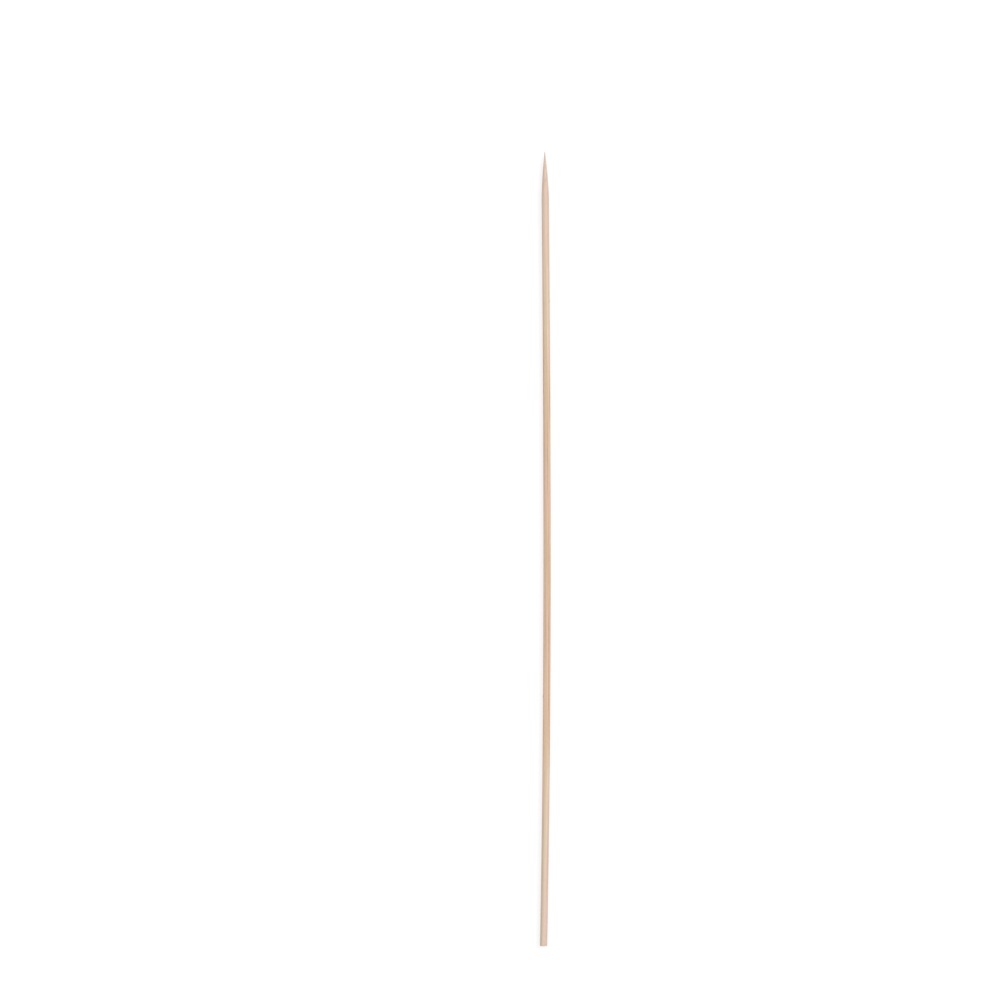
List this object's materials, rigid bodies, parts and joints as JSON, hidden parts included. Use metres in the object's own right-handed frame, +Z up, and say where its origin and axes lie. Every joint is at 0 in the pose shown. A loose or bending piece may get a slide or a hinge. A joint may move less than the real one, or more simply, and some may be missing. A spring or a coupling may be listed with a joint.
{
  "type": "kebab skewer",
  "caption": "Slim round bamboo stick with a ground point at one end and a square-cut butt at the other, for threading and grilling food",
  "frame": {"origin": "on the table, under the middle of the skewer's box as it lies", "axes": "+Y along the skewer towards its point, +X to the side that the middle bows to, +Z up"},
  "size_m": [0.004, 0.3, 0.0027],
  "materials": {
    "bamboo": "bare bamboo, tumbled smooth, unvarnished satin"
  },
  "bodies": {
    "root": {"skewer": "bamboo"}
  },
  "joints": []
}
